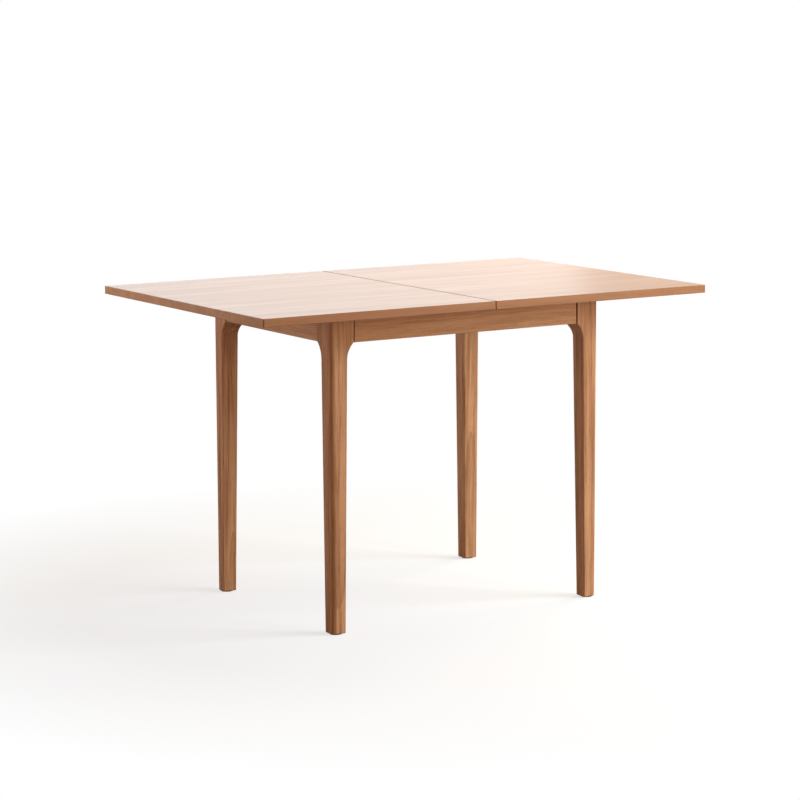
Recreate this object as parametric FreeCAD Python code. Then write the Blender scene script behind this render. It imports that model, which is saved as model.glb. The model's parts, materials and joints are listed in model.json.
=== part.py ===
import FreeCAD, Part
import math
import os

# Swivel-and-fold dining table, open. Millimetres, +Z up, floor at z = 0 under the middle of the open top.
# +X runs along the open top, -Y is the front. The right half has the swivel, the left half folds over it.

# Top
table_height = 750.0
top_length = 1200.0
top_width = 780.0
top_thickness = 19.0
top_corner_radius = 3.0
top_edge_radius = 1.2
seam_gap = 3.0
fold_lift = 0.25          # height of the fold axis above the top's upper face

# Frame under the top
folded_overhang = 22.5    # margin of the folded top round the frame
apron_height = 64.0
apron_thickness = 20.0
apron_setback = 1.5       # apron face behind the leg face
apron_edge_radius = 1.5
reveal_gap = 3.0          # dark slot between an apron's end and its leg
tenon_thickness = 10.0
tenon_height = 40.0
tenon_depth = 17.0
joint_fit = 0.1           # play of glued and housed joints

# Legs
leg_block = 60.0          # square head of the leg beside the aprons
leg_neck = 43.0           # width just under the flare
leg_foot = 34.0           # width at the floor
flare_height = 38.0
leg_corner_radius = 12.0  # rounded outer corner
leg_edge_radius = 1.5
leg_facet = 24.0          # inner corner cut off for the corner block
foot_chamfer = 1.5        # lower edges of the leg

# Felt
felt_thickness = 1.5
felt_width = 12.0
felt_clearance = 0.2      # between the felt and the turning top
pad_diameter = 28.0
pad_thickness = 2.0

# Corner blocks and their hardware
block_thickness = 25.0
block_height = 45.0
block_drop = 8.0          # block below the apron's upper edge
bolt_diameter = 8.0
bolt_embed = 40.0
bolt_tail = 4.0
bolt_chamfer = 1.0
washer_diameter = 18.0
washer_thickness = 1.6
nut_across_flats = 13.0
nut_height = 6.5
nut_face_share = 0.95     # flat ring on a nut's end, as a share of its width
nut_chamfer_angle = 30.0

# Wood screws
screw_diameter = 4.0
screw_head = 8.0
screw_head_height = 2.4
screw_head_round = 1.6
screw_embed = 13.0
recess_width = 1.1        # cross recess for the driver
recess_depth = 1.2
recess_share = 0.5        # length of its arms, as a share of the head
screw_seat = 7.0          # corner block wood under a screw head
counterbore_play = 0.5
thread_fit = 0.05

# Cross rail and its brackets
slot_wall = 8.0           # wood beside the stop slot
rail_thickness = 20.0
rail_housing = 6.0
bracket_width = 60.0
bracket_leg = 30.0
bracket_thickness = 2.5
bracket_screw_spacing = 36.0
bracket_screw_reach = 18.0

# Swivel
plate_diameter = 90.0
plate_thickness = 3.0
plate_screw_circle = 66.0
plate_screw_length = 13.0
swivel_diameter = 12.0
swivel_head = 24.0
swivel_head_height = 4.0
swivel_tail = 4.0
running_fit = 0.05
bush_diameter = 18.0
bush_flange = 40.0
bush_flange_thickness = 3.0
swivel_washer = 36.0
swivel_washer_thickness = 2.5
cone_diameter = 28.0
cone_height = 2.5
cone_wall = 1.5
swivel_nut_across_flats = 19.0
swivel_nut_height = 12.0

# Stop peg of the quarter turn
peg_diameter = 8.0
peg_radius = 62.0         # distance from the swivel axis
peg_embed = 10.0
peg_reach = 18.0          # length below the top
peg_clearance = 0.3
peg_start = 45.0          # degrees from +X with the top open
quarter_turn = 90.0

# Concealed hinges in the seam
hinge_offset = 180.0      # hinge middle from the table's middle
hinge_length = 60.0
hinge_depth = 14.0
hinge_cover = 2.0         # wood above and below a cup
cup_wall = 1.05
link_half_width = 2.0
link_thickness = 4.0
link_spacing = 0.4
link_clearance = 0.4
link_count = 5
pin_diameter = 2.5
pin_grip = 8.0            # pin in the cup on each side of the links
hinge_screw_diameter = 3.5
hinge_screw_head = 6.5
hinge_screw_length = 28.0

# Levels
underside = table_height - top_thickness
apron_top = underside - felt_clearance - felt_thickness
apron_bottom = apron_top - apron_height
block_top = apron_top - block_drop
block_middle = block_top - block_height / 2
rail_top = underside - bush_flange_thickness
rail_bottom = rail_top - rail_thickness
fold_axis_z = table_height + fold_lift

# Plan sizes: the folded top is one leaf, turned by a quarter
frame_length = top_width - 2 * folded_overhang
frame_width = top_length / 2 - 2 * folded_overhang
frame_x = frame_length / 2
frame_y = frame_width / 2
apron_inner = apron_setback + apron_thickness
apron_end = leg_block + reveal_gap
facet_sum = 2 * leg_block - leg_facet
block_sum = facet_sum + block_thickness * math.sqrt(2)
leaf_middle = top_length / 4
swivel_x = leaf_middle / 2
swivel_y = -leaf_middle / 2
seam_half = seam_gap / 2
slot_reach = peg_radius * math.sin(math.radians(quarter_turn / 2))
rail_width = 2 * (slot_reach + peg_diameter / 2 + peg_clearance + slot_wall)

# Hinge sizes, measured from the fold axis
cup_high = fold_lift + hinge_cover
cup_low = fold_lift + top_thickness - hinge_cover
pin_inset = cup_high + cup_wall + link_clearance + link_half_width
elbow_low = cup_low - cup_wall - link_clearance - link_half_width
cavity_depth = pin_inset + link_half_width + link_clearance
link_pitch = link_thickness + link_spacing
cavity_width = (link_count - 1) * link_pitch + link_thickness + 2 * link_spacing

UP = FreeCAD.Vector(0, 0, 1)
ALONG_X = FreeCAD.Vector(1, 0, 0)
ALONG_Y = FreeCAD.Vector(0, 1, 0)
ORIGIN = FreeCAD.Vector(0, 0, 0)


def point(x, y, z):
    return FreeCAD.Vector(x, y, z)


def block(low, high):
    """Box between two opposite corners."""
    size = high - low
    return Part.makeBox(size.x, size.y, size.z, low)


def rod(radius, length, start, direction=UP):
    return Part.makeCylinder(radius, length, start, direction)


def ring(outer, inner, height, base):
    """Washer of two radii, standing on its base."""
    return rod(outer, height, base).cut(rod(inner, height, base))


def prism(points, rise):
    """Flat polygon pushed along a vector."""
    return Part.Face(Part.makePolygon(points + points[:1])).extrude(rise)


def hexagon(across_flats, height, bore_radius):
    """Nut standing on the origin, with its corners chamfered at both ends."""
    reach = across_flats / math.sqrt(3)
    face = nut_face_share * across_flats / 2
    clear = 2 * reach - face
    rise = (clear - face) * math.tan(math.radians(nut_chamfer_angle))
    corners = []
    for step in range(6):
        angle = math.radians(60 * step)
        corners.append(point(reach * math.cos(angle), reach * math.sin(angle), 0))
    profile = [point(0, 0, 0), point(face, 0, 0), point(clear, 0, rise), point(clear, 0, height - rise),
               point(face, 0, height), point(0, 0, height)]
    bound = Part.Face(Part.makePolygon(profile + profile[:1])).revolve(ORIGIN, UP, 360)
    return prism(corners, UP * height).common(bound).cut(rod(bore_radius, height, ORIGIN))


def turned(shape, base, direction):
    """Piece made on the origin along +Z, moved to a base and a direction."""
    shape.Placement = FreeCAD.Placement(base, FreeCAD.Rotation(UP, direction))
    return shape


def mirror_x(shape):
    return shape.mirror(ORIGIN, ALONG_X)


def mirror_y(shape):
    return shape.mirror(ORIGIN, ALONG_Y)


def four_corners(shape):
    """Front-left piece and its mirror images at the other corners."""
    return {
        "front_left": shape,
        "front_right": mirror_x(shape),
        "back_left": mirror_y(shape),
        "back_right": mirror_y(mirror_x(shape)),
    }


def corner_point(u, v, z):
    """Point measured inwards from the frame's front-left corner."""
    return point(u - frame_x, v - frame_y, z)


def cross_recess(head, face, direction):
    """Driver recess cut into a screw head from its face."""
    half_span = recess_share * head / 2
    half_width = recess_width / 2
    arm = block(point(-half_span, -half_width, 0), point(half_span, half_width, recess_depth))
    other = block(point(-half_width, -half_span, 0), point(half_width, half_span, recess_depth))
    return turned(arm.fuse(other), face, direction)


def pan_screw(seat, direction, length):
    """Round-headed screw: the head's underside is at the seat."""
    head = rod(screw_head / 2, screw_head_height, ORIGIN)
    rim = [edge for edge in head.Edges if edge.BoundBox.ZMin > screw_head_height / 2]
    head = turned(head.makeFillet(screw_head_round, rim), seat, direction * -1)
    head = head.cut(cross_recess(screw_head, seat - direction * screw_head_height, direction))
    return head.fuse(rod(screw_diameter / 2, length, seat, direction))


def screw_hole(seat, direction, length):
    return rod(screw_diameter / 2 + thread_fit, length + thread_fit, seat, direction)


def countersunk_hole(diameter, head, length, face, direction, play=thread_fit):
    shank_radius = diameter / 2 + play
    head_radius = head / 2 + play
    cone = Part.makeCone(head_radius, shank_radius, head_radius - shank_radius, face, direction)
    return cone.fuse(rod(shank_radius, length + play, face, direction))


def flat_screw(diameter, head, length, face, direction):
    """Countersunk screw flush with a face."""
    body = countersunk_hole(diameter, head, length, face, direction, 0)
    return body.cut(cross_recess(head, face, direction))


# Legs
def leg_outline(place):
    """Side view of a leg: straight outside, tapered inside, with a concave flare into the head."""
    neck_z = apron_bottom - flare_height
    taper = FreeCAD.Vector(leg_neck - leg_foot, neck_z - pad_thickness).normalize()
    inward = FreeCAD.Vector(taper.y, -taper.x)
    neck = FreeCAD.Vector(leg_neck, neck_z)
    flare_end = FreeCAD.Vector(leg_block, apron_bottom)
    chord = flare_end - neck
    radius = chord.Length ** 2 / (2 * chord.dot(inward))
    centre = neck + inward * radius
    middle = centre + ((neck + chord * 0.5) - centre).normalize() * radius
    head_low = place(leg_block, apron_bottom)
    head_high = place(leg_block, apron_top)
    shaft = Part.makePolygon([place(0, apron_top), place(0, pad_thickness), place(leg_foot, pad_thickness),
                              place(leg_neck, neck_z)])
    flare = Part.Arc(place(neck.x, neck.y), place(middle.x, middle.y), head_low).toShape()
    head = Part.makePolygon([head_low, head_high, place(0, apron_top)])
    return Part.Face(Part.Wire(shaft.Edges + [flare] + head.Edges))


def leg_section():
    """Plan of the leg's head, with its rounded outer corner, as tall as the leg."""
    radius = leg_corner_radius
    bow = radius * (1 - math.sqrt(0.5))
    arc = Part.Arc(point(0, radius, 0), point(bow, bow, 0), point(radius, 0, 0)).toShape()
    sides = Part.makePolygon([point(radius, 0, 0), point(leg_block, 0, 0), point(leg_block, leg_block, 0),
                              point(0, leg_block, 0), point(0, radius, 0)])
    return Part.Face(Part.Wire([arc] + sides.Edges)).extrude(UP * apron_top)


def leg_blank():
    front_view = leg_outline(lambda across, z: point(across, 0, z)).extrude(ALONG_Y * leg_block)
    side_view = leg_outline(lambda across, z: point(0, across, z)).extrude(ALONG_X * leg_block)
    leg = front_view.common(side_view).common(leg_section())
    lowest = [edge for edge in leg.Edges if edge.BoundBox.ZMax < pad_thickness + joint_fit]
    leg = leg.makeChamfer(foot_chamfer, lowest)
    below_head = [edge for edge in leg.Edges if eased_leg_edge(edge)]
    leg = leg.makeFillet(leg_edge_radius, below_head)
    leg.translate(corner_point(0, 0, 0))
    return leg


def eased_leg_edge(edge):
    """True for the long inner edges of the shaft and its flare."""
    box = edge.BoundBox
    on_shaft = box.ZMax < apron_bottom + joint_fit and box.ZLength > foot_chamfer + joint_fit
    off_round_corner = max(box.XMax, box.YMax) > leg_foot - joint_fit
    return on_shaft and off_round_corner


def tenon(play):
    """Tenon of the front apron at its left end, or its mortise when there is play."""
    middle = apron_setback + apron_thickness / 2
    centre_z = (apron_top + apron_bottom) / 2
    low = corner_point(leg_block - tenon_depth - play, middle - tenon_thickness / 2 - play,
                       centre_z - tenon_height / 2 - play)
    high = corner_point(apron_end, middle + tenon_thickness / 2 + play, centre_z + tenon_height / 2 + play)
    return block(low, high)


def side_tenon(play):
    """The same tenon on the left apron, at its front end."""
    return tenon(play).mirror(corner_point(0, 0, 0), point(1, -1, 0))


def facet_cut():
    """Inner corner that is sawn off the leg's head."""
    corners = [corner_point(leg_block, leg_block - leg_facet, apron_bottom),
               corner_point(leg_block, leg_block, apron_bottom),
               corner_point(leg_block - leg_facet, leg_block, apron_bottom)]
    return prism(corners, UP * apron_height)


# Corner blocks, bolts and screws
diagonal = FreeCAD.Vector(1, 1, 0).normalize()
facet_middle = corner_point(facet_sum / 2, facet_sum / 2, block_middle)
block_face = facet_middle + diagonal * block_thickness
hanger_bolt_length = bolt_embed + block_thickness + washer_thickness + nut_height + bolt_tail


def hanger_bolt():
    bolt = rod(bolt_diameter / 2, hanger_bolt_length, ORIGIN)
    ends = [edge for edge in bolt.Edges if edge.BoundBox.ZLength < joint_fit]
    return turned(bolt.makeChamfer(bolt_chamfer, ends), facet_middle - diagonal * bolt_embed, diagonal)


def hanger_bolt_hole(play):
    start = facet_middle - diagonal * (bolt_embed + play)
    return rod(bolt_diameter / 2 + play, hanger_bolt_length + play, start, diagonal)


def leg_washer():
    washer = ring(washer_diameter / 2, bolt_diameter / 2 + joint_fit, washer_thickness, ORIGIN)
    return turned(washer, block_face, diagonal)


def leg_nut():
    nut = hexagon(nut_across_flats, nut_height, bolt_diameter / 2 + thread_fit)
    return turned(nut, block_face + diagonal * washer_thickness, diagonal)


def block_screw_seats():
    """Seat and direction of the screws from a corner block into its two aprons."""
    along = (facet_sum + block_sum) / 2 - apron_inner
    depth = apron_inner + screw_seat
    seats = []
    for z in (block_middle - block_height / 4, block_middle + block_height / 4):
        seats.append((corner_point(along, depth, z), ALONG_Y * -1))
        seats.append((corner_point(depth, along, z), ALONG_X * -1))
    return seats


def corner_block():
    plan = [(facet_sum - apron_inner, apron_inner), (block_sum - apron_inner, apron_inner),
            (apron_inner, block_sum - apron_inner), (apron_inner, facet_sum - apron_inner)]
    corners = [corner_point(u, v, block_top - block_height) for u, v in plan]
    piece = prism(corners, UP * block_height).cut(hanger_bolt_hole(joint_fit))
    for seat, direction in block_screw_seats():
        access = rod(screw_head / 2 + counterbore_play, block_thickness * 2, seat, direction * -1)
        piece = piece.cut(access).cut(screw_hole(seat, direction, screw_seat))
    return piece


def block_screws():
    length = screw_seat + screw_embed
    return [pan_screw(seat, direction, length) for seat, direction in block_screw_seats()]


def block_screw_holes():
    length = screw_seat + screw_embed
    return [screw_hole(seat, direction, length) for seat, direction in block_screw_seats()]


# Cross rail under the swivel, with its brackets
def cross_rail():
    half = rail_width / 2
    end = frame_y - apron_inner + rail_housing
    rail = block(point(swivel_x - half, -end, rail_bottom), point(swivel_x + half, end, rail_top))
    centre = point(swivel_x, swivel_y, rail_bottom)
    rail = rail.cut(rod(bush_diameter / 2 + joint_fit, rail_thickness, centre)).cut(stop_slot())
    for seat, direction in bracket_screw_seats():
        hole = screw_hole(seat, direction, bracket_thickness + screw_embed)
        rail = rail.cut(hole).cut(mirror_y(hole))
    return rail


def stop_slot():
    """Quarter-turn slot of the stop peg, right through the rail."""
    centre = point(swivel_x, swivel_y, rail_bottom)
    half = peg_diameter / 2 + peg_clearance
    outer = Part.makeCylinder(peg_radius + half, rail_thickness, centre, UP, quarter_turn)
    inner = Part.makeCylinder(peg_radius - half, rail_thickness, centre, UP, quarter_turn)
    slot = outer.cut(inner)
    slot.rotate(centre, UP, peg_start)
    for angle in (peg_start, peg_start + quarter_turn):
        slot = slot.fuse(rod(half, rail_thickness, peg_point(angle, rail_bottom)))
    return slot.removeSplitter()


def peg_point(angle, z):
    turn = math.radians(angle)
    return point(swivel_x + peg_radius * math.cos(turn), swivel_y + peg_radius * math.sin(turn), z)


def rail_housing_cut():
    """Notch in the front apron, open at the top, that the rail drops into."""
    half = rail_width / 2 + joint_fit
    inner = -frame_y + apron_inner
    return block(point(swivel_x - half, inner - rail_housing - joint_fit, rail_bottom - joint_fit),
                 point(swivel_x + half, inner, apron_top))


def bracket_screw_seats():
    """Front bracket: two screws up into the rail, two into the apron."""
    inner = -frame_y + apron_inner
    seats = []
    for side in (-1, 1):
        x = swivel_x + side * bracket_screw_spacing / 2
        seats.append((point(x, inner + bracket_screw_reach, rail_bottom - bracket_thickness), UP))
        seats.append((point(x, inner + bracket_thickness, rail_bottom - bracket_screw_reach), ALONG_Y * -1))
    return seats


def rail_bracket():
    inner = -frame_y + apron_inner
    left = swivel_x - bracket_width / 2
    right = swivel_x + bracket_width / 2
    shelf = block(point(left, inner, rail_bottom - bracket_thickness),
                  point(right, inner + bracket_leg, rail_bottom))
    back = block(point(left, inner, rail_bottom - bracket_leg),
                 point(right, inner + bracket_thickness, rail_bottom))
    bracket = shelf.fuse(back).removeSplitter()
    for seat, direction in bracket_screw_seats():
        bracket = bracket.cut(screw_hole(seat, direction, bracket_thickness))
    return bracket


# Aprons and the felt on them
def front_apron():
    """Front apron without screw holes, with a tenon at each end and the rail's notch."""
    end = frame_x - apron_end
    low = point(-end, -frame_y + apron_setback, apron_bottom)
    high = point(end, -frame_y + apron_inner, apron_top)
    board = ease_lower_edges(block(low, high))
    board = board.fuse(tenon(0)).fuse(mirror_x(tenon(0)))
    return board.cut(rail_housing_cut())


def left_apron():
    end = frame_y - apron_end
    low = point(-frame_x + apron_setback, -end, apron_bottom)
    high = point(-frame_x + apron_inner, end, apron_top)
    board = ease_lower_edges(block(low, high))
    return board.fuse(side_tenon(0)).fuse(mirror_y(side_tenon(0)))


def ease_lower_edges(board):
    """Rounds the two long lower edges of an apron."""
    edges = []
    for edge in board.Edges:
        if edge.BoundBox.ZMax < apron_bottom + joint_fit and edge.Length > apron_thickness + joint_fit:
            edges.append(edge)
    return board.makeFillet(apron_edge_radius, edges)


def front_felt():
    end = frame_x - apron_end
    middle = -frame_y + apron_setback + apron_thickness / 2
    return block(point(-end, middle - felt_width / 2, apron_top),
                 point(end, middle + felt_width / 2, apron_top + felt_thickness))


def left_felt():
    end = frame_y - apron_end
    middle = -frame_x + apron_setback + apron_thickness / 2
    return block(point(middle - felt_width / 2, -end, apron_top),
                 point(middle + felt_width / 2, end, apron_top + felt_thickness))


def foot_pad():
    return rod(pad_diameter / 2, pad_thickness, corner_point(leg_foot / 2, leg_foot / 2, 0))


# Swivel between the cross rail and the right half of the top
swivel_axis = point(swivel_x, swivel_y, 0)
washer_low = rail_bottom - swivel_washer_thickness
nut_top = washer_low - cone_height
nut_low = nut_top - swivel_nut_height


def swivel_plate():
    base = swivel_axis + UP * underside
    plate = ring(plate_diameter / 2, swivel_diameter / 2 + running_fit, plate_thickness, base)
    for hole in plate_screws(countersunk_hole):
        plate = plate.cut(hole)
    return plate


def plate_screws(make):
    """Four screws through the plate, or their holes."""
    screws = []
    for step in range(4):
        turn = math.radians(90 * step)
        reach = plate_screw_circle / 2
        face = point(swivel_x + reach * math.cos(turn), swivel_y + reach * math.sin(turn), underside)
        screws.append(make(screw_diameter, screw_head, plate_screw_length, face, UP))
    return screws


def swivel_bolt():
    head_base = underside + plate_thickness
    end = nut_low - swivel_tail
    head = rod(swivel_head / 2, swivel_head_height, swivel_axis + UP * head_base)
    bolt = head.fuse(rod(swivel_diameter / 2, head_base - end, swivel_axis + UP * end))
    tip = [edge for edge in bolt.Edges if edge.BoundBox.ZMax < end + joint_fit]
    return bolt.makeChamfer(bolt_chamfer, tip)


def swivel_bush():
    bore = swivel_diameter / 2 + running_fit
    sleeve = ring(bush_diameter / 2, bore, rail_thickness, swivel_axis + UP * rail_bottom)
    flange = ring(bush_flange / 2, bore, bush_flange_thickness, swivel_axis + UP * rail_top)
    return sleeve.fuse(flange).removeSplitter()


def cone_spring():
    """Cone washer that keeps the swivel snug."""
    inner = swivel_diameter / 2 + joint_fit
    outer = cone_diameter / 2
    profile = [point(inner, 0, washer_low), point(inner, 0, washer_low - cone_wall),
               point(outer, 0, nut_top), point(outer, 0, nut_top + cone_wall)]
    spring = Part.Face(Part.makePolygon(profile + profile[:1])).revolve(ORIGIN, UP, 360)
    spring.translate(swivel_axis)
    return spring


def swivel_nut():
    nut = hexagon(swivel_nut_across_flats, swivel_nut_height, swivel_diameter / 2 + thread_fit)
    nut.translate(swivel_axis + UP * nut_low)
    return nut


def stop_peg(play=0.0):
    base = peg_point(peg_start, underside - peg_reach)
    return rod(peg_diameter / 2 + play, peg_reach + peg_embed + play, base)


# Concealed hinges: the right-hand half of each, in the edge of the right leaf
def hinge_point(x, y, depth):
    """Point measured down from the fold axis."""
    return point(x, y, fold_axis_z - depth)


def hinge_cup_body(y, play=0.0):
    half = hinge_length / 2 + play
    return block(hinge_point(seam_half, y - half, cup_low + play),
                 hinge_point(seam_half + hinge_depth + play, y + half, cup_high - play))


def hinge_cup(y):
    half = cavity_width / 2
    cavity = block(hinge_point(seam_half, y - half, cup_low - cup_wall),
                   hinge_point(cavity_depth, y + half, cup_high + cup_wall))
    cup = hinge_cup_body(y).cut(cavity).cut(hinge_pin(y, running_fit))
    for hole in hinge_screws(y, countersunk_hole):
        cup = cup.cut(hole)
    return cup


def hinge_pin(y, play=0.0):
    half = cavity_width / 2 + pin_grip + play
    return rod(pin_diameter / 2 + play, 2 * half, hinge_point(pin_inset, y - half, pin_inset), ALONG_Y)


def hinge_screws(y, make):
    """One countersunk screw, or its hole, at each end of a cup, into the leaf's edge."""
    screws = []
    for side in (-1, 1):
        across = side * (hinge_length + cavity_width) / 4
        face = hinge_point(seam_half, y + across, (cup_high + cup_low) / 2)
        screws.append(make(hinge_screw_diameter, hinge_screw_head, hinge_screw_length, face, ALONG_X))
    return screws


def link_bar(start, end):
    """Flat bar with round ends between two points of a plane across the seam."""
    along = (end - start).normalize()
    side = along.cross(ALONG_Y) * link_half_width
    tip = along * link_half_width
    outline = [
        Part.makeLine(start + side, end + side),
        Part.Arc(end + side, end + tip, end - side).toShape(),
        Part.makeLine(end - side, start - side),
        Part.Arc(start - side, start - tip, start + side).toShape(),
    ]
    return Part.Face(Part.Wire(outline)).extrude(ALONG_Y * link_thickness)


def hinge_link(y):
    """Elbow link from its pin down and across to the middle of the seam."""
    pin = hinge_point(pin_inset, y, pin_inset)
    elbow = hinge_point(pin_inset, y, elbow_low)
    link = link_bar(pin, elbow).fuse(link_bar(elbow, hinge_point(0, y, elbow_low))).removeSplitter()
    return link.cut(rod(pin_diameter / 2 + running_fit, link_thickness, pin, ALONG_Y))


def hinge_links(y, first):
    """Every second link of the stack, starting from the given one."""
    start = y - cavity_width / 2 + link_spacing
    return [hinge_link(start + step * link_pitch) for step in range(first, link_count, 2)]


# The two halves of the top
def leaf_blank():
    """Right half of the top, with eased edges."""
    board = block(point(seam_half, -top_width / 2, underside),
                  point(top_length / 2, top_width / 2, table_height))
    upright = [edge for edge in board.Edges if edge.BoundBox.ZLength > joint_fit]
    outer = [edge for edge in upright if edge.BoundBox.XMin > seam_half]
    board = board.makeFillet(top_corner_radius, outer)
    rims = [edge for edge in board.Edges if edge.BoundBox.ZLength < joint_fit]
    return board.makeFillet(top_edge_radius, rims)


def cut_for_hinges(board):
    for y in (-hinge_offset, hinge_offset):
        board = board.cut(hinge_cup_body(y, joint_fit))
        for hole in hinge_screws(y, countersunk_hole):
            board = board.cut(hole)
    return board


def cut_for_swivel(board):
    base = swivel_axis + UP * underside
    board = board.cut(rod(plate_diameter / 2 + joint_fit, plate_thickness, base))
    head_depth = plate_thickness + swivel_head_height + joint_fit
    board = board.cut(rod(swivel_head / 2 + joint_fit, head_depth, base))
    for hole in plate_screws(countersunk_hole):
        board = board.cut(hole)
    return board.cut(stop_peg(thread_fit))


def make_frame():
    nodes = {}
    screws = four_corners(Part.makeCompound(block_screws()))
    holes = four_corners(Part.makeCompound(block_screw_holes()))
    seats = bracket_screw_seats()
    length = bracket_thickness + screw_embed
    bracket_holes = Part.makeCompound([screw_hole(seat, direction, length) for seat, direction in seats])
    front = front_apron().cut(bracket_holes).cut(holes["front_left"]).cut(holes["front_right"])
    left = left_apron().cut(holes["front_left"]).cut(holes["back_left"])
    nodes["apron_front"] = front
    nodes["apron_back"] = mirror_y(front)
    nodes["apron_left"] = left
    nodes["apron_right"] = mirror_x(left)

    leg = leg_blank().cut(facet_cut()).cut(hanger_bolt_hole(thread_fit))
    leg = leg.cut(tenon(joint_fit)).cut(side_tenon(joint_fit))
    for corner, piece in four_corners(leg).items():
        nodes["leg_" + corner] = piece
    for corner, piece in four_corners(corner_block()).items():
        nodes["corner_block_" + corner] = piece
    for corner, piece in four_corners(foot_pad()).items():
        nodes["foot_pad_" + corner] = piece
    nodes["hanger_bolts"] = Part.makeCompound(list(four_corners(hanger_bolt()).values()))
    nodes["leg_washers"] = Part.makeCompound(list(four_corners(leg_washer()).values()))
    nodes["leg_nuts"] = Part.makeCompound(list(four_corners(leg_nut()).values()))
    nodes["block_screws"] = Part.makeCompound(list(screws.values()))

    nodes["felt_front"] = front_felt()
    nodes["felt_back"] = mirror_y(front_felt())
    nodes["felt_left"] = left_felt()
    nodes["felt_right"] = mirror_x(left_felt())

    nodes["cross_rail"] = cross_rail()
    nodes["rail_bracket_front"] = rail_bracket()
    nodes["rail_bracket_back"] = mirror_y(rail_bracket())
    front_screws = Part.makeCompound([pan_screw(seat, direction, length) for seat, direction in seats])
    nodes["bracket_screws"] = Part.makeCompound([front_screws, mirror_y(front_screws)])
    nodes["swivel_bush"] = swivel_bush()
    return nodes


def make_top():
    nodes = {}
    places = (-hinge_offset, hinge_offset)
    nodes["pivot_leaf"] = cut_for_swivel(cut_for_hinges(leaf_blank()))
    nodes["flip_leaf"] = mirror_x(cut_for_hinges(leaf_blank()))
    nodes["swivel_plate"] = swivel_plate()
    nodes["plate_screws"] = Part.makeCompound(plate_screws(flat_screw))
    nodes["swivel_bolt"] = swivel_bolt()
    nodes["swivel_washer"] = ring(swivel_washer / 2, swivel_diameter / 2 + joint_fit,
                                  swivel_washer_thickness, swivel_axis + UP * washer_low)
    nodes["cone_spring"] = cone_spring()
    nodes["swivel_nut"] = swivel_nut()
    nodes["stop_peg"] = stop_peg()

    cups = Part.makeCompound([hinge_cup(y) for y in places])
    pins = Part.makeCompound([hinge_pin(y) for y in places])
    screws = Part.makeCompound([screw for y in places for screw in hinge_screws(y, flat_screw)])
    nodes["hinge_cups_pivot"] = cups
    nodes["hinge_cups_flip"] = mirror_x(cups)
    nodes["hinge_pins_pivot"] = pins
    nodes["hinge_pins_flip"] = mirror_x(pins)
    nodes["hinge_screws_pivot"] = screws
    nodes["hinge_screws_flip"] = mirror_x(screws)
    pivot_links = [link for y in places for link in hinge_links(y, 0)]
    flip_links = [link for y in places for link in hinge_links(y, 1)]
    nodes["hinge_links_pivot"] = Part.makeCompound(pivot_links)
    nodes["hinge_links_flip"] = mirror_x(Part.makeCompound(flip_links))
    return nodes


def make_table():
    nodes = make_frame()
    nodes.update(make_top())
    return nodes


def main():
    os.makedirs("parts", exist_ok=True)
    for name, shape in make_table().items():
        shape.exportStep(os.path.join("parts", name + ".step"))


main()
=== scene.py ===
import json
import math

import bpy
from mathutils import Euler, Matrix, Vector


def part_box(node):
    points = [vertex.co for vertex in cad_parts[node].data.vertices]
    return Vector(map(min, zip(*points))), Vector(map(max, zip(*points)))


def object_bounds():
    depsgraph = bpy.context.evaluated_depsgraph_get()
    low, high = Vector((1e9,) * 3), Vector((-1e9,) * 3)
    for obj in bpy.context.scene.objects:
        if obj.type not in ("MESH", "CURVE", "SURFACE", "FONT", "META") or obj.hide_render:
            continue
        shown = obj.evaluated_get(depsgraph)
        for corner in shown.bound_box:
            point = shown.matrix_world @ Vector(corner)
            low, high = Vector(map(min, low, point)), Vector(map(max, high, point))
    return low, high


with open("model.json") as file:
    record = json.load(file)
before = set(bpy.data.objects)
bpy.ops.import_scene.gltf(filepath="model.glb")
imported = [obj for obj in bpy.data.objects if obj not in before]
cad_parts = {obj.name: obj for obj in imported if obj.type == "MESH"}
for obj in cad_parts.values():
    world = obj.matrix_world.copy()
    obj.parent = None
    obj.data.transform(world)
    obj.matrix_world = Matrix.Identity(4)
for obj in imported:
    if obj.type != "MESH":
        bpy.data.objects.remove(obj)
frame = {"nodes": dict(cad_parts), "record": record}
cad_low, cad_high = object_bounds()
nodes = frame["nodes"]
slots = {part["node"]: part["material_slot"] for part in frame["record"]["subparts"]}


def srgb(red, green, blue):
    """Linear colour of a 0-255 display colour."""
    def linear(value):
        share = value / 255
        return share / 12.92 if share <= 0.04045 else ((share + 0.055) / 1.055) ** 2.4
    return (linear(red), linear(green), linear(blue), 1.0)


# Colours of the wood: early wood, slow change of tone, late wood
OUTER_WOOD = (srgb(205, 160, 119), srgb(180, 134, 96), srgb(131, 87, 56))
INNER_WOOD = (srgb(222, 190, 150), srgb(205, 168, 126), srgb(176, 134, 92))
PORE = srgb(92, 56, 36)
# Painted shade for upright faces in the narrow gaps between pieces
GAP_PAINTED_SHADE = srgb(48, 24, 13)

# Colours of the other materials
FELT = srgb(96, 76, 60)
FELT_DARK = srgb(70, 54, 42)
FELT_PALE = srgb(112, 92, 74)
ZINC = srgb(188, 188, 182)
HINGE = srgb(168, 164, 156)
METAL_DULL = srgb(128, 128, 126)
METAL_BRIGHT = srgb(226, 226, 222)
NYLON = srgb(226, 222, 210)
NYLON_DARK = srgb(208, 203, 188)
NYLON_PALE = srgb(240, 238, 230)

# Colours of the floor and the light around it
FLOOR = srgb(246, 246, 245)
FLOOR_BOUNCE = srgb(122, 112, 105)
WHITE = (1.0, 1.0, 1.0, 1.0)
AMBIENT = (1.0, 0.6, 0.43, 1.0)
AMBIENT_STRENGTH = 0.2

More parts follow.
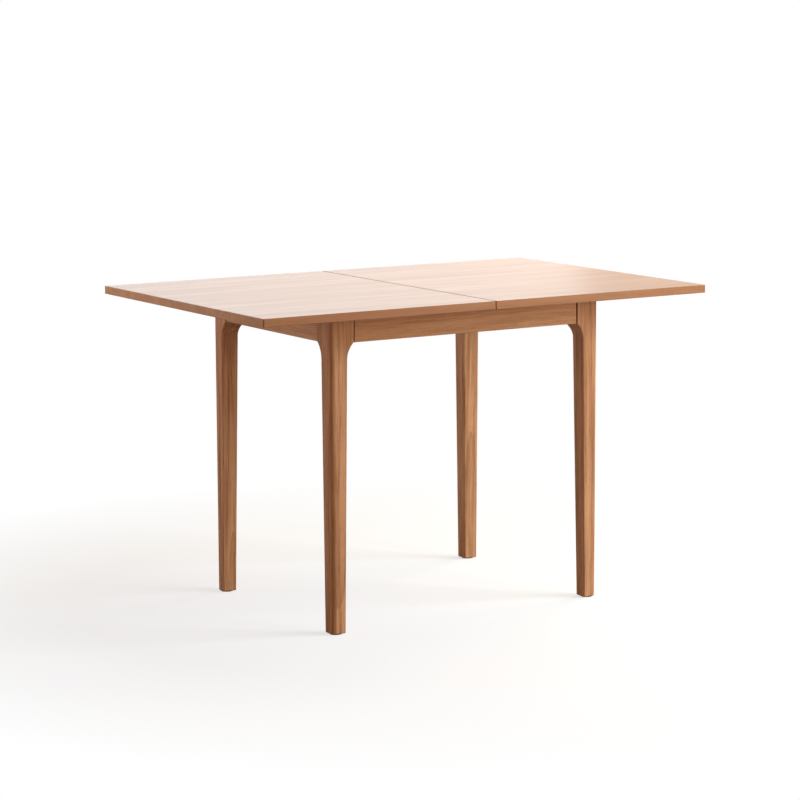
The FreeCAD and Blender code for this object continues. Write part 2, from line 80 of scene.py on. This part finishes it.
# Sizes of the wood's figure, in metres
RING_SPACING = 0.0042
STAVE_WIDTH = 0.78 / 9
STAVE_SHIFT = (3.0, 0.1, 0.04)
HEART_DEPTH = 0.06
HEART_ASIDE = 0.016
BOARD_ASIDE = 0.075
PIECE_SHIFT = 1.37
GRAIN_DRIFT = Vector((0.0, 0.014, 0.014))
RIM_REACH = 0.0014
# Reach of the painted shade in the gaps between pieces
GAP_SHADE_REACH = 0.006
WOOD_EDGE = 0.0016
FINE_EDGE = 0.0004

# Wander of the rings, in rings, and a leg's share of all wander
RING_WANDER = 14.0
LEG_SWAY = 0.3

# Turn, in radians, that sets the heart of each leg aside by another amount
HEART_TURN = 2.1

# Changes per metre along the grain and across it
DRIFT_SCALE = 3.0
WANDER_SCALE = (1.6, 8.0, 8.0)
TONE_SCALE = (1.6, 26.0, 26.0)
STREAK_SCALE = (4.5, 140.0, 140.0)
FIBRE_SCALE = (14.0, 620.0, 620.0)
PORE_SCALE = (55.0, 1500.0, 1500.0)

# Changes per metre in the other materials
FUZZ_SCALE = (900.0, 900.0, 900.0)
PATCH_SCALE = (60.0, 60.0, 60.0)
CLOUD_SCALE = (160.0, 160.0, 160.0)
SCRATCH_SCALE = (90.0, 2600.0, 2600.0)
NYLON_SCALE = (700.0, 700.0, 700.0)
FLOOR_SCALE = (40.0, 40.0, 40.0)

# Floor: width, distances between which it fades into white, and the share of white under the table
FLOOR_WIDTH = 120
FLOOR_NEAR = 0.8
FLOOR_FAR = 1.5
FLOOR_FADE = 0.68

# Camera: place in metres, turns in radians, lens and sensor in millimetres
CAMERA_PLACE = (-3.3306, -5.3272, 1.4462)
CAMERA_YAW = 0.5569
CAMERA_PITCH = 0.1536
CAMERA_ROLL = -0.0039
CAMERA_LENS = 119.40
CAMERA_SENSOR = 36.0

# Turns that lay the grain's direction along the texture's X
GRAIN_TURNS = {"X": (0, 0, 0), "Y": (0, 0, -math.pi / 2), "Z": (0, math.pi / 2, 0)}


class Tree:
    """Node tree of one material, with short calls for the nodes that it uses."""

    def __init__(self, name):
        self.material = bpy.data.materials.new(name)
        self.material.use_nodes = True
        self.tree = self.material.node_tree
        self.shader = self.tree.nodes["Principled BSDF"]

    def put(self, socket, value):
        if isinstance(value, bpy.types.NodeSocket):
            self.tree.links.new(value, socket)
        else:
            socket.default_value = value

    def node(self, kind, inputs, **settings):
        made = self.tree.nodes.new("ShaderNode" + kind)
        for key, value in settings.items():
            setattr(made, key, value)
        for key, value in inputs.items():
            self.put(made.inputs[key], value)
        return made

    def surface(self, **inputs):
        for key, value in inputs.items():
            self.put(self.shader.inputs[key.replace("_", " ")], value)

    def math(self, operation, first, second=0.0):
        return self.node("Math", {0: first, 1: second}, operation=operation).outputs[0]

    def vector(self, operation, first, second=(0.0, 0.0, 0.0)):
        made = self.node("VectorMath", {0: first, 1: second}, operation=operation)
        return made.outputs["Value" if operation in ("LENGTH", "DOT_PRODUCT") else "Vector"]

    def mix(self, share, first, second):
        made = self.node("Mix", {0: share}, data_type="RGBA")
        self.put(made.inputs[6], first)
        self.put(made.inputs[7], second)
        return made.outputs[2]

    def span(self, value, low, high, start=0.0, end=1.0):
        """Value rescaled from one range to another, clamped."""
        made = self.node("MapRange", {"Value": value, "From Min": low, "From Max": high,
                                      "To Min": start, "To Max": end})
        return made.outputs["Result"]

    def place(self):
        return self.node("TexCoord", {}).outputs["Object"]

    def noise(self, place, scale, detail=2.0, roughness=0.5):
        made = self.node("TexNoise", {"Vector": self.vector("MULTIPLY", place, scale), "Scale": 1.0,
                                      "Detail": detail, "Roughness": roughness})
        return made.outputs[0]

    def bump(self, height, strength, distance, normal):
        made = self.node("Bump", {"Height": height, "Strength": strength, "Distance": distance,
                                  "Normal": normal})
        return made.outputs["Normal"]

    def soft_edges(self, radius):
        """Rounded normal, and a mask that is 1 on the edges."""
        soft = self.node("Bevel", {"Radius": radius}, samples=6).outputs["Normal"]
        flat = self.node("NewGeometry", {}).outputs["True Normal"]
        return soft, self.span(self.vector("DOT_PRODUCT", soft, flat), 0.995, 0.85)

    def painted_gap_shade(self, reach):
        """Mask of painted shade: upright faces in the narrow gaps between pieces, darkened where ambient
        occlusion finds other pieces close by.
        """
        openness = self.node("AmbientOcclusion", {"Distance": reach}, samples=4).outputs["AO"]
        facing = self.node("NewGeometry", {}).outputs["True Normal"]
        level = self.math("ABSOLUTE", self.vector("DOT_PRODUCT", facing, (0.0, 0.0, 1.0)))
        upright = self.span(level, 0.3, 0.6, 1.0, 0.0)
        return self.math("MULTIPLY", self.span(openness, 0.3, 0.6, 0.85, 0.0), upright)


def staves(tree, place, seed):
    """Gives each stave of a glued board its own figure. Returns the place, a tone and the joints."""
    parts = tree.node("SeparateXYZ", {0: place})
    count = tree.math("DIVIDE", parts.outputs["Y"], STAVE_WIDTH)
    number = tree.math("ADD", tree.math("FLOOR", count), seed)
    chance = tree.node("TexWhiteNoise", {"W": number}, noise_dimensions="1D")
    from_middle = tree.math("SUBTRACT", tree.math("FRACT", count), 0.5)
    own = tree.node("CombineXYZ", {"X": parts.outputs["X"], "Z": parts.outputs["Z"],
                                   "Y": tree.math("MULTIPLY", from_middle, STAVE_WIDTH)})
    centred = tree.vector("SUBTRACT", chance.outputs["Color"], (0.0, 0.5, 0.5))
    shift = tree.vector("MULTIPLY", centred, STAVE_SHIFT)
    joint = tree.span(tree.math("ABSOLUTE", from_middle), 0.492, 0.499)
    return tree.vector("ADD", own.outputs[0], shift), chance.outputs["Value"], joint


def long_rims(tree):
    """1 on the long edges of the top."""
    parts = tree.node("SeparateXYZ", {0: tree.vector("ABSOLUTE", tree.place())})
    return tree.math("GREATER_THAN", parts.outputs["Y"], cad_high.y - RIM_REACH)


def drifted(tree, place, sway):
    """Place moved a little aside, so that the grain doesn't run dead straight."""
    drift = tree.node("TexNoise", {"Vector": place, "Scale": DRIFT_SCALE, "Detail": 2.0}).outputs["Color"]
    centred = tree.vector("SUBTRACT", drift, (0.5, 0.5, 0.5))
    return tree.vector("ADD", place, tree.vector("MULTIPLY", centred, GRAIN_DRIFT * sway))


def growth_rings(tree, place, sway):
    """Rises slowly through each growth ring and falls at its end."""
    wander = tree.math("MULTIPLY", tree.noise(place, WANDER_SCALE, 3.0), RING_WANDER * sway)
    radius = tree.vector("LENGTH", tree.vector("MULTIPLY", place, (0.0, 1.0, 1.0)))
    phase = tree.math("ADD", tree.math("DIVIDE", radius, RING_SPACING), wander)
    return tree.math("POWER", tree.math("FRACT", phase), 2.5)


def wood(name, grain, heart, seed, tones, glued=False, painted_gap_shade=False, contrast=1.0, sway=1.0, tone=1.0,
         relief=0.25, roughness=0.5, specular=0.08):
    """Lacquered wood: growth rings round the heart line, streaks, fibres and pores along the grain.

    The strength of the rings and streaks is contrast, that of slow changes is tone, that of pores
    and fibres in the lacquer is relief, and sway is how far the grain wanders.
    """
    light, middle, late = tones
    tree = Tree(name)
    turn = Euler(GRAIN_TURNS[grain])
    start = Vector((PIECE_SHIFT * seed, 0, 0)) - turn.to_matrix() @ heart
    mapping = tree.node("Mapping", {"Vector": tree.place(), "Rotation": turn, "Location": start})
    place = mapping.outputs["Vector"]
    if glued:
        place, stave_tone, joint = staves(tree, place, seed)
    place = drifted(tree, place, sway)
    ring = growth_rings(tree, place, sway)
    slow = tree.noise(place, TONE_SCALE, 3.0, 0.6)
    streak = tree.noise(place, STREAK_SCALE, 4.0, 0.7)
    fibre = tree.noise(place, FIBRE_SCALE, 2.0, 0.6)
    pore = tree.span(tree.noise(place, PORE_SCALE, 1.0), 0.62, 0.72)

    colour = tree.mix(tree.span(slow, 0.34, 0.66, 0.5 - tone / 2, 0.5 + tone / 2), light, middle)
    depth = tree.span(slow, 0.35, 0.7, contrast * (0.41 - 0.21 * tone), contrast * (0.41 + 0.21 * tone))
    colour = tree.mix(tree.math("MULTIPLY", ring, depth), colour, late)
    colour = tree.mix(tree.span(streak, 0.42, 0.7, 0.0, 0.7 * contrast), colour, late)
    colour = tree.mix(tree.span(fibre, 0.35, 0.75, 0.0, 0.28), colour, late)
    colour = tree.mix(tree.math("MULTIPLY", pore, 0.4), colour, PORE)
    if glued:
        colour = tree.mix(tree.span(stave_tone, 0.0, 1.0, 0.0, 0.22), colour, middle)
        colour = tree.mix(tree.math("MULTIPLY", joint, 0.35), colour, late)
        colour = tree.mix(tree.math("MULTIPLY", long_rims(tree), 0.6), colour, late)

    soft, edge = tree.soft_edges(WOOD_EDGE)
    colour = tree.mix(tree.math("MULTIPLY", edge, 0.25), colour, light)
    # Painted shade darkens upright faces in the narrow gaps between pieces
    if painted_gap_shade:
        colour = tree.mix(tree.painted_gap_shade(GAP_SHADE_REACH), colour, GAP_PAINTED_SHADE)
    height = tree.math("SUBTRACT", tree.math("MULTIPLY", fibre, 0.4), pore)
    tree.surface(Base_Color=colour, Specular_IOR_Level=specular,
                 Roughness=tree.span(slow, 0.3, 0.7, roughness - relief / 5, roughness + relief / 4),
                 Normal=tree.bump(height, relief, 0.00025, soft))
    return tree.material


def felt(name):
    """Pressed felt with dark and pale fibres."""
    tree = Tree(name)
    fuzz = tree.noise(tree.place(), FUZZ_SCALE, 3.0, 0.7)
    patch = tree.noise(tree.place(), PATCH_SCALE)
    colour = tree.mix(tree.span(fuzz, 0.3, 0.7), FELT, FELT_DARK)
    colour = tree.mix(tree.span(patch, 0.4, 0.7, 0.0, 0.4), colour, FELT_PALE)
    normal = tree.node("NewGeometry", {}).outputs["Normal"]
    tree.surface(Base_Color=colour, Roughness=0.95, Specular_IOR_Level=0.1, Sheen_Weight=0.4,
                 Normal=tree.bump(fuzz, 0.6, 0.0004, normal))
    return tree.material


def metal(name, colour, roughness):
    """Plated steel with fine scratches, brighter on its edges."""
    tree = Tree(name)
    cloud = tree.noise(tree.place(), CLOUD_SCALE, 4.0, 0.65)
    scratch = tree.noise(tree.place(), SCRATCH_SCALE)
    soft, edge = tree.soft_edges(FINE_EDGE)
    shade = tree.mix(tree.span(cloud, 0.35, 0.7, 0.0, 0.35), colour, METAL_DULL)
    shade = tree.mix(tree.math("MULTIPLY", edge, 0.5), shade, METAL_BRIGHT)
    tree.surface(Base_Color=shade, Metallic=1.0,
                 Roughness=tree.span(cloud, 0.3, 0.7, roughness - 0.08, roughness + 0.1),
                 Normal=tree.bump(scratch, 0.12, 0.0001, soft))
    return tree.material


def nylon(name):
    """Moulded nylon, paler on its edges."""
    tree = Tree(name)
    grain = tree.noise(tree.place(), NYLON_SCALE)
    soft, edge = tree.soft_edges(FINE_EDGE)
    colour = tree.mix(tree.span(grain, 0.3, 0.7, 0.0, 0.3), NYLON, NYLON_DARK)
    colour = tree.mix(tree.math("MULTIPLY", edge, 0.4), colour, NYLON_PALE)
    tree.surface(Base_Color=colour, Roughness=tree.span(grain, 0.3, 0.7, 0.42, 0.55),
                 Normal=tree.bump(grain, 0.1, 0.0001, soft))
    return tree.material


def grain_of(node):
    """Direction of the grain: along each board and up each leg."""
    if node.startswith("leg_"):
        return "Z"
    if slots[node] == "top_wood":
        return "X"
    low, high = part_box(node)
    return "X" if high.x - low.x >= high.y - low.y else "Y"


def heart_of(node, seed):
    """A point of the tree's heart line: behind the outer face of a leg or board, under the top."""
    low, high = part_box(node)
    middle = (low + high) / 2
    if slots[node] == "top_wood":
        return Vector((0, 0, high.z - HEART_DEPTH))
    if node.startswith("leg_"):
        return middle + Vector((HEART_ASIDE * math.sin(HEART_TURN * seed), HEART_DEPTH, 0))
    if grain_of(node) == "X":
        return middle + Vector((0, HEART_DEPTH, BOARD_ASIDE))
    return middle + Vector((HEART_DEPTH, 0, BOARD_ASIDE))


def wood_for(node, seed):
    """Wood of one piece, with a figure of its own."""
    figure = (node, grain_of(node), heart_of(node, seed), seed)
    if slots[node] == "top_wood":
        return wood(*figure, OUTER_WOOD, glued=True, contrast=0.45, tone=0.6, relief=0.08,
                    roughness=0.3, specular=0.34)
    if slots[node] == "inner_wood":
        return wood(*figure, INNER_WOOD, roughness=0.62, specular=0.2)
    if node.startswith("leg_"):
        return wood(*figure, OUTER_WOOD, painted_gap_shade=True, contrast=1.2, sway=LEG_SWAY, tone=0.3)
    return wood(*figure, OUTER_WOOD, painted_gap_shade=True, contrast=0.65, tone=0.6)


def dress_pieces():
    """One wood for each wooden piece, and one shared material for each other slot."""
    shared = {
        "felt": felt("felt"),
        "steel": metal("steel", ZINC, 0.34),
        "hinge_metal": metal("hinge_metal", HINGE, 0.4),
        "nylon": nylon("nylon"),
    }
    for seed, (name, piece) in enumerate(sorted(nodes.items())):
        piece.data.materials.clear()
        piece.data.materials.append(shared.get(slots[name]) or wood_for(name, seed))


def make_floor():
    """Pale floor that fades into a white background and throws a dimmer light back."""
    bpy.ops.mesh.primitive_plane_add(size=FLOOR_WIDTH)
    floor = bpy.context.object
    floor.name = "floor"
    tree = Tree("floor")
    grain = tree.noise(tree.place(), FLOOR_SCALE)
    seen = tree.node("LightPath", {}).outputs["Is Camera Ray"]
    tree.surface(Base_Color=tree.mix(seen, FLOOR_BOUNCE, FLOOR), Specular_IOR_Level=0.1,
                 Roughness=tree.span(grain, 0.3, 0.7, 0.85, 0.95))
    glow = tree.node("Emission", {"Color": WHITE, "Strength": 1.0})
    away = tree.span(tree.vector("LENGTH", tree.place()), FLOOR_NEAR, FLOOR_FAR, FLOOR_FADE)
    shown = tree.node("MixShader", {0: tree.math("MULTIPLY", seen, away), 1: tree.shader.outputs[0],
                                    2: glow.outputs[0]})
    tree.put(tree.tree.nodes["Material Output"].inputs["Surface"], shown.outputs[0])
    floor.data.materials.append(tree.material)


def make_world():
    """White to the eye and in reflections, a softer light for everything else."""
    world = bpy.data.worlds.new("studio")
    bpy.context.scene.world = world
    world.use_nodes = True
    tree = world.node_tree
    soft = tree.nodes["Background"]
    soft.inputs["Color"].default_value = AMBIENT
    soft.inputs["Strength"].default_value = AMBIENT_STRENGTH
    white = tree.nodes.new("ShaderNodeBackground")
    white.inputs["Color"].default_value = WHITE
    path = tree.nodes.new("ShaderNodeLightPath")
    most = path.outputs["Is Camera Ray"]
    for ray in ("Is Glossy Ray", "Is Transmission Ray"):
        either = tree.nodes.new("ShaderNodeMath")
        either.operation = "MAXIMUM"
        tree.links.new(most, either.inputs[0])
        tree.links.new(path.outputs[ray], either.inputs[1])
        most = either.outputs[0]
    mixed = tree.nodes.new("ShaderNodeMixShader")
    tree.links.new(most, mixed.inputs[0])
    tree.links.new(soft.outputs[0], mixed.inputs[1])
    tree.links.new(white.outputs[0], mixed.inputs[2])
    tree.links.new(mixed.outputs[0], tree.nodes["World Output"].inputs["Surface"])


def make_lamp(name, place, aim, size, watts, colour, mirrored=False, spread=180):
    """Square lamp, hidden from the camera. Only a mirrored lamp shows in reflections."""
    lamp = bpy.data.lights.new(name, "AREA")
    lamp.shape = "SQUARE"
    lamp.size = size
    lamp.energy = watts
    lamp.color = colour
    lamp.spread = math.radians(spread)
    holder = bpy.data.objects.new(name, lamp)
    bpy.context.collection.objects.link(holder)
    holder.location = place
    holder.rotation_euler = (Vector(aim) - Vector(place)).to_track_quat("-Z", "Y").to_euler()
    holder.visible_camera = False
    holder.visible_glossy = mirrored


def make_lamps():
    """Light from the front right, softer light from the other sides, and a window behind the top."""
    make_lamp("key", (3.4, -2.4, 2.4), aim=(0, 0, 0.45), size=2.0, watts=212, colour=(1.0, 1.09, 1.18))
    make_lamp("front", (1.5, -2.9, 0.9), aim=(0, 0, 0.45), size=0.9, watts=45, colour=(1.0, 0.92, 0.9))
    make_lamp("fill", (-2.8, -4.2, 0.8), aim=(0, 0, 0.5), size=2.0, watts=31, colour=(1.0, 0.55, 0.3))
    make_lamp("left", (-2.6, 2.0, 0.6), aim=(0, 0, 1.0), size=1.4, watts=9.2, colour=(1.0, 0.96, 1.08),
              spread=60)
    make_lamp("over", (2.0, 0.3, 2.2), aim=(0.6, 0, 0.75), size=1.4, watts=42, colour=(1.0, 0.89, 0.54))
    make_lamp("window", (2.28, 5.1, 1.6), aim=(-0.2, 0, 0.7), size=3.2, watts=31.5,
              colour=(0.97, 1.02, 1.06), mirrored=True)


def make_camera():
    """Camera at the front left, a little above the top."""
    level = Vector((math.sin(CAMERA_YAW), math.cos(CAMERA_YAW), 0))
    right = Vector((math.cos(CAMERA_YAW), -math.sin(CAMERA_YAW), 0))
    ahead = level * math.cos(CAMERA_PITCH) - Vector((0, 0, math.sin(CAMERA_PITCH)))
    up = level * math.sin(CAMERA_PITCH) + Vector((0, 0, math.cos(CAMERA_PITCH)))
    tilted_right = right * math.cos(CAMERA_ROLL) + up * math.sin(CAMERA_ROLL)
    tilted_up = up * math.cos(CAMERA_ROLL) - right * math.sin(CAMERA_ROLL)
    data = bpy.data.cameras.new("camera")
    data.lens = CAMERA_LENS
    data.sensor_width = CAMERA_SENSOR
    holder = bpy.data.objects.new("camera", data)
    bpy.context.collection.objects.link(holder)
    turn = Matrix((tilted_right, tilted_up, -ahead)).transposed().to_4x4()
    holder.matrix_world = Matrix.Translation(CAMERA_PLACE) @ turn
    bpy.context.scene.camera = holder


dress_pieces()
make_floor()
make_world()
make_lamps()
make_camera()
bpy.context.scene.view_settings.view_transform = "Standard"
